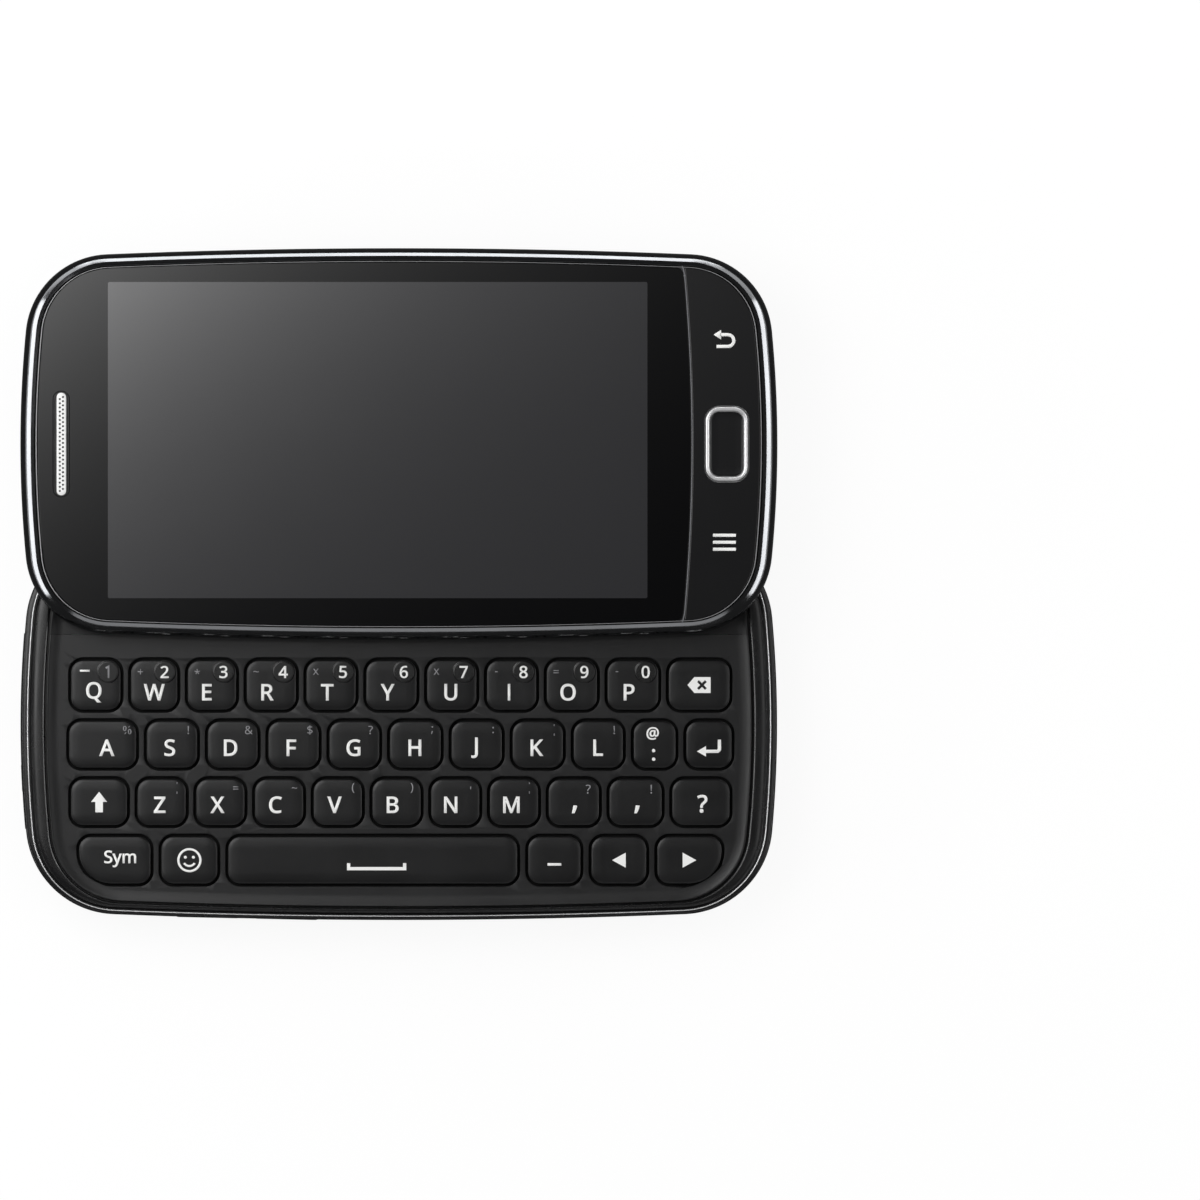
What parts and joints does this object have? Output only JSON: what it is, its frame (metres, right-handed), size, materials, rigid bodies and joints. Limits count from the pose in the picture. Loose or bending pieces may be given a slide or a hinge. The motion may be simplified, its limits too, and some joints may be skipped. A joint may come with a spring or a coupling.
{
  "type": "slider phone",
  "caption": "Side-sliding phone with a landscape keyboard deck under a touch display half, removable back cover, side keys and camera.",
  "frame": {"origin": "middle of the battery cover's flat back", "axes": "+X to the right-hand end as it is held to type, +Y away from the typist, towards the open display half, +Z out of the screen"},
  "size_m": [0.1162, 0.1034, 0.015],
  "materials": {
    "housing_plastic": "satin black ABS",
    "woven_cover": "black, moulded with a fine woven emboss",
    "bezel_plastic": "satin black",
    "key_plastic": "satin black keys",
    "silicone": "matt",
    "circuit_board": "solder mask",
    "battery_can": "wrapped can",
    "bright_metal": "bright turned",
    "camera_glass": "gloss black window",
    "stamped_steel": "stamped",
    "dark_chrome": "dark chrome plated plastic",
    "carriage_alloy": "glass filled nylon, black",
    "lcd_panel": "module in its black frame",
    "screen_glass": "black-backed glass",
    "gloss_black": "gloss black",
    "grille_metal": "perforated, satin",
    "home_key_metal": "bright ring round a black cap"
  },
  "bodies": {
    "deck": {"lower_housing": "housing_plastic", "keypad_bezel": "bezel_plastic", "keypad_mat": "silicone", "main_board": "circuit_board", "battery": "battery_can", "camera_trim_ring": "bright_metal", "camera_module": "camera_glass", "top_end_cap": "housing_plastic", "slide_rail_plate": "stamped_steel"},
    "cover": {"battery_cover": "woven_cover"},
    "display_half": {"display_frame": "dark_chrome", "slide_carriage": "carriage_alloy", "lcd_module": "lcd_panel", "screen_glass": "screen_glass", "nav_panel": "gloss_black", "earpiece_grille": "grille_metal"},
    "home_key": {"home_button": "home_key_metal"},
    "port_door": {"usb_port_door": "housing_plastic"},
    "power_key": {"power_button": "housing_plastic"},
    "rocker": {"volume_rocker": "housing_plastic"},
    "shutter_key": {"shutter_button": "housing_plastic"},
    "key_q": {"key_q": "key_plastic"},
    "key_w": {"key_w": "key_plastic"},
    "key_e": {"key_e": "key_plastic"},
    "key_r": {"key_r": "key_plastic"},
    "key_t": {"key_t": "key_plastic"},
    "key_y": {"key_y": "key_plastic"},
    "key_u": {"key_u": "key_plastic"},
    "key_i": {"key_i": "key_plastic"},
    "key_o": {"key_o": "key_plastic"},
    "key_p": {"key_p": "key_plastic"},
    "key_backspace": {"key_backspace": "key_plastic"},
    "key_a": {"key_a": "key_plastic"},
    "key_s": {"key_s": "key_plastic"},
    "key_d": {"key_d": "key_plastic"},
    "key_f": {"key_f": "key_plastic"},
    "key_g": {"key_g": "key_plastic"},
    "key_h": {"key_h": "key_plastic"},
    "key_j": {"key_j": "key_plastic"},
    "key_k": {"key_k": "key_plastic"},
    "key_l": {"key_l": "key_plastic"},
    "key_at": {"key_at": "key_plastic"},
    "key_enter": {"key_enter": "key_plastic"},
    "key_shift": {"key_shift": "key_plastic"},
    "key_z": {"key_z": "key_plastic"},
    "key_x": {"key_x": "key_plastic"},
    "key_c": {"key_c": "key_plastic"},
    "key_v": {"key_v": "key_plastic"},
    "key_b": {"key_b": "key_plastic"},
    "key_n": {"key_n": "key_plastic"},
    "key_m": {"key_m": "key_plastic"},
    "key_comma": {"key_comma": "key_plastic"},
    "key_period": {"key_period": "key_plastic"},
    "key_question": {"key_question": "key_plastic"},
    "key_sym": {"key_sym": "key_plastic"},
    "key_smiley": {"key_smiley": "key_plastic"},
    "key_space": {"key_space": "key_plastic"},
    "key_dash": {"key_dash": "key_plastic"},
    "key_left": {"key_left": "key_plastic"},
    "key_right": {"key_right": "key_plastic"}
  },
  "joints": [
    {"name": "battery_cover_off", "type": "slide", "parent": "deck", "child": "cover", "axis": [0, 0, -1], "range_m": [0, 0.012]},
    {"name": "display_slide", "type": "slide", "parent": "deck", "child": "display_half", "axis": [0, -1, 0], "range_m": [0, 0.043]},
    {"name": "home_key_press", "type": "slide", "parent": "display_half", "child": "home_key", "axis": [0, 0, -1], "range_m": [0, 0.0003], "stiffness_N_per_m": 800, "springref_m": -0.0002},
    {"name": "port_door_swing", "type": "hinge", "parent": "deck", "child": "port_door", "pos_m": [-0.0356, 0.02949, 0.0055], "axis": [0, 0, 1], "range_deg": [0, 90]},
    {"name": "power_key_press", "type": "slide", "parent": "deck", "child": "power_key", "axis": [0.9989, 0.0458, 0], "range_m": [0, 0.00025], "stiffness_N_per_m": 800, "springref_m": -0.0002},
    {"name": "rocker_tilt", "type": "hinge", "parent": "deck", "child": "rocker", "pos_m": [-0.02332, -0.0262, 0.0055], "axis": [0, 0, 1], "range_deg": [-1, 1], "stiffness_Nm_per_rad": 1.2},
    {"name": "shutter_key_press", "type": "slide", "parent": "deck", "child": "shutter_key", "axis": [-0.0208, -0.9998, 0], "range_m": [0, 0.0004], "stiffness_N_per_m": 800, "springref_m": -0.0002},
    {"name": "travel_key_q", "type": "slide", "parent": "deck", "child": "key_q", "axis": [0, 0, -1], "range_m": [0, 0.0003], "stiffness_N_per_m": 800, "springref_m": -0.0002},
    {"name": "travel_key_w", "type": "slide", "parent": "deck", "child": "key_w", "axis": [0, 0, -1], "range_m": [0, 0.0003], "stiffness_N_per_m": 800, "springref_m": -0.0002},
    {"name": "travel_key_e", "type": "slide", "parent": "deck", "child": "key_e", "axis": [0, 0, -1], "range_m": [0, 0.0003], "stiffness_N_per_m": 800, "springref_m": -0.0002},
    {"name": "travel_key_r", "type": "slide", "parent": "deck", "child": "key_r", "axis": [0, 0, -1], "range_m": [0, 0.0003], "stiffness_N_per_m": 800, "springref_m": -0.0002},
    {"name": "travel_key_t", "type": "slide", "parent": "deck", "child": "key_t", "axis": [0, 0, -1], "range_m": [0, 0.0003], "stiffness_N_per_m": 800, "springref_m": -0.0002},
    {"name": "travel_key_y", "type": "slide", "parent": "deck", "child": "key_y", "axis": [0, 0, -1], "range_m": [0, 0.0003], "stiffness_N_per_m": 800, "springref_m": -0.0002},
    {"name": "travel_key_u", "type": "slide", "parent": "deck", "child": "key_u", "axis": [0, 0, -1], "range_m": [0, 0.0003], "stiffness_N_per_m": 800, "springref_m": -0.0002},
    {"name": "travel_key_i", "type": "slide", "parent": "deck", "child": "key_i", "axis": [0, 0, -1], "range_m": [0, 0.0003], "stiffness_N_per_m": 800, "springref_m": -0.0002},
    {"name": "travel_key_o", "type": "slide", "parent": "deck", "child": "key_o", "axis": [0, 0, -1], "range_m": [0, 0.0003], "stiffness_N_per_m": 800, "springref_m": -0.0002},
    {"name": "travel_key_p", "type": "slide", "parent": "deck", "child": "key_p", "axis": [0, 0, -1], "range_m": [0, 0.0003], "stiffness_N_per_m": 800, "springref_m": -0.0002},
    {"name": "travel_key_backspace", "type": "slide", "parent": "deck", "child": "key_backspace", "axis": [0, 0, -1], "range_m": [0, 0.0003], "stiffness_N_per_m": 800, "springref_m": -0.0002},
    {"name": "travel_key_a", "type": "slide", "parent": "deck", "child": "key_a", "axis": [0, 0, -1], "range_m": [0, 0.0003], "stiffness_N_per_m": 800, "springref_m": -0.0002},
    {"name": "travel_key_s", "type": "slide", "parent": "deck", "child": "key_s", "axis": [0, 0, -1], "range_m": [0, 0.0003], "stiffness_N_per_m": 800, "springref_m": -0.0002},
    {"name": "travel_key_d", "type": "slide", "parent": "deck", "child": "key_d", "axis": [0, 0, -1], "range_m": [0, 0.0003], "stiffness_N_per_m": 800, "springref_m": -0.0002},
    {"name": "travel_key_f", "type": "slide", "parent": "deck", "child": "key_f", "axis": [0, 0, -1], "range_m": [0, 0.0003], "stiffness_N_per_m": 800, "springref_m": -0.0002},
    {"name": "travel_key_g", "type": "slide", "parent": "deck", "child": "key_g", "axis": [0, 0, -1], "range_m": [0, 0.0003], "stiffness_N_per_m": 800, "springref_m": -0.0002},
    {"name": "travel_key_h", "type": "slide", "parent": "deck", "child": "key_h", "axis": [0, 0, -1], "range_m": [0, 0.0003], "stiffness_N_per_m": 800, "springref_m": -0.0002},
    {"name": "travel_key_j", "type": "slide", "parent": "deck", "child": "key_j", "axis": [0, 0, -1], "range_m": [0, 0.0003], "stiffness_N_per_m": 800, "springref_m": -0.0002},
    {"name": "travel_key_k", "type": "slide", "parent": "deck", "child": "key_k", "axis": [0, 0, -1], "range_m": [0, 0.0003], "stiffness_N_per_m": 800, "springref_m": -0.0002},
    {"name": "travel_key_l", "type": "slide", "parent": "deck", "child": "key_l", "axis": [0, 0, -1], "range_m": [0, 0.0003], "stiffness_N_per_m": 800, "springref_m": -0.0002},
    {"name": "travel_key_at", "type": "slide", "parent": "deck", "child": "key_at", "axis": [0, 0, -1], "range_m": [0, 0.0003], "stiffness_N_per_m": 800, "springref_m": -0.0002},
    {"name": "travel_key_enter", "type": "slide", "parent": "deck", "child": "key_enter", "axis": [0, 0, -1], "range_m": [0, 0.0003], "stiffness_N_per_m": 800, "springref_m": -0.0002},
    {"name": "travel_key_shift", "type": "slide", "parent": "deck", "child": "key_shift", "axis": [0, 0, -1], "range_m": [0, 0.0003], "stiffness_N_per_m": 800, "springref_m": -0.0002},
    {"name": "travel_key_z", "type": "slide", "parent": "deck", "child": "key_z", "axis": [0, 0, -1], "range_m": [0, 0.0003], "stiffness_N_per_m": 800, "springref_m": -0.0002},
    {"name": "travel_key_x", "type": "slide", "parent": "deck", "child": "key_x", "axis": [0, 0, -1], "range_m": [0, 0.0003], "stiffness_N_per_m": 800, "springref_m": -0.0002},
    {"name": "travel_key_c", "type": "slide", "parent": "deck", "child": "key_c", "axis": [0, 0, -1], "range_m": [0, 0.0003], "stiffness_N_per_m": 800, "springref_m": -0.0002},
    {"name": "travel_key_v", "type": "slide", "parent": "deck", "child": "key_v", "axis": [0, 0, -1], "range_m": [0, 0.0003], "stiffness_N_per_m": 800, "springref_m": -0.0002},
    {"name": "travel_key_b", "type": "slide", "parent": "deck", "child": "key_b", "axis": [0, 0, -1], "range_m": [0, 0.0003], "stiffness_N_per_m": 800, "springref_m": -0.0002},
    {"name": "travel_key_n", "type": "slide", "parent": "deck", "child": "key_n", "axis": [0, 0, -1], "range_m": [0, 0.0003], "stiffness_N_per_m": 800, "springref_m": -0.0002},
    {"name": "travel_key_m", "type": "slide", "parent": "deck", "child": "key_m", "axis": [0, 0, -1], "range_m": [0, 0.0003], "stiffness_N_per_m": 800, "springref_m": -0.0002},
    {"name": "travel_key_comma", "type": "slide", "parent": "deck", "child": "key_comma", "axis": [0, 0, -1], "range_m": [0, 0.0003], "stiffness_N_per_m": 800, "springref_m": -0.0002},
    {"name": "travel_key_period", "type": "slide", "parent": "deck", "child": "key_period", "axis": [0, 0, -1], "range_m": [0, 0.0003], "stiffness_N_per_m": 800, "springref_m": -0.0002},
    {"name": "travel_key_question", "type": "slide", "parent": "deck", "child": "key_question", "axis": [0, 0, -1], "range_m": [0, 0.0003], "stiffness_N_per_m": 800, "springref_m": -0.0002},
    {"name": "travel_key_sym", "type": "slide", "parent": "deck", "child": "key_sym", "axis": [0, 0, -1], "range_m": [0, 0.0003], "stiffness_N_per_m": 800, "springref_m": -0.0002},
    {"name": "travel_key_smiley", "type": "slide", "parent": "deck", "child": "key_smiley", "axis": [0, 0, -1], "range_m": [0, 0.0003], "stiffness_N_per_m": 800, "springref_m": -0.0002},
    {"name": "travel_key_space", "type": "slide", "parent": "deck", "child": "key_space", "axis": [0, 0, -1], "range_m": [0, 0.0003], "stiffness_N_per_m": 800, "springref_m": -0.0002},
    {"name": "travel_key_dash", "type": "slide", "parent": "deck", "child": "key_dash", "axis": [0, 0, -1], "range_m": [0, 0.0003], "stiffness_N_per_m": 800, "springref_m": -0.0002},
    {"name": "travel_key_left", "type": "slide", "parent": "deck", "child": "key_left", "axis": [0, 0, -1], "range_m": [0, 0.0003], "stiffness_N_per_m": 800, "springref_m": -0.0002},
    {"name": "travel_key_right", "type": "slide", "parent": "deck", "child": "key_right", "axis": [0, 0, -1], "range_m": [0, 0.0003], "stiffness_N_per_m": 800, "springref_m": -0.0002}
  ]
}
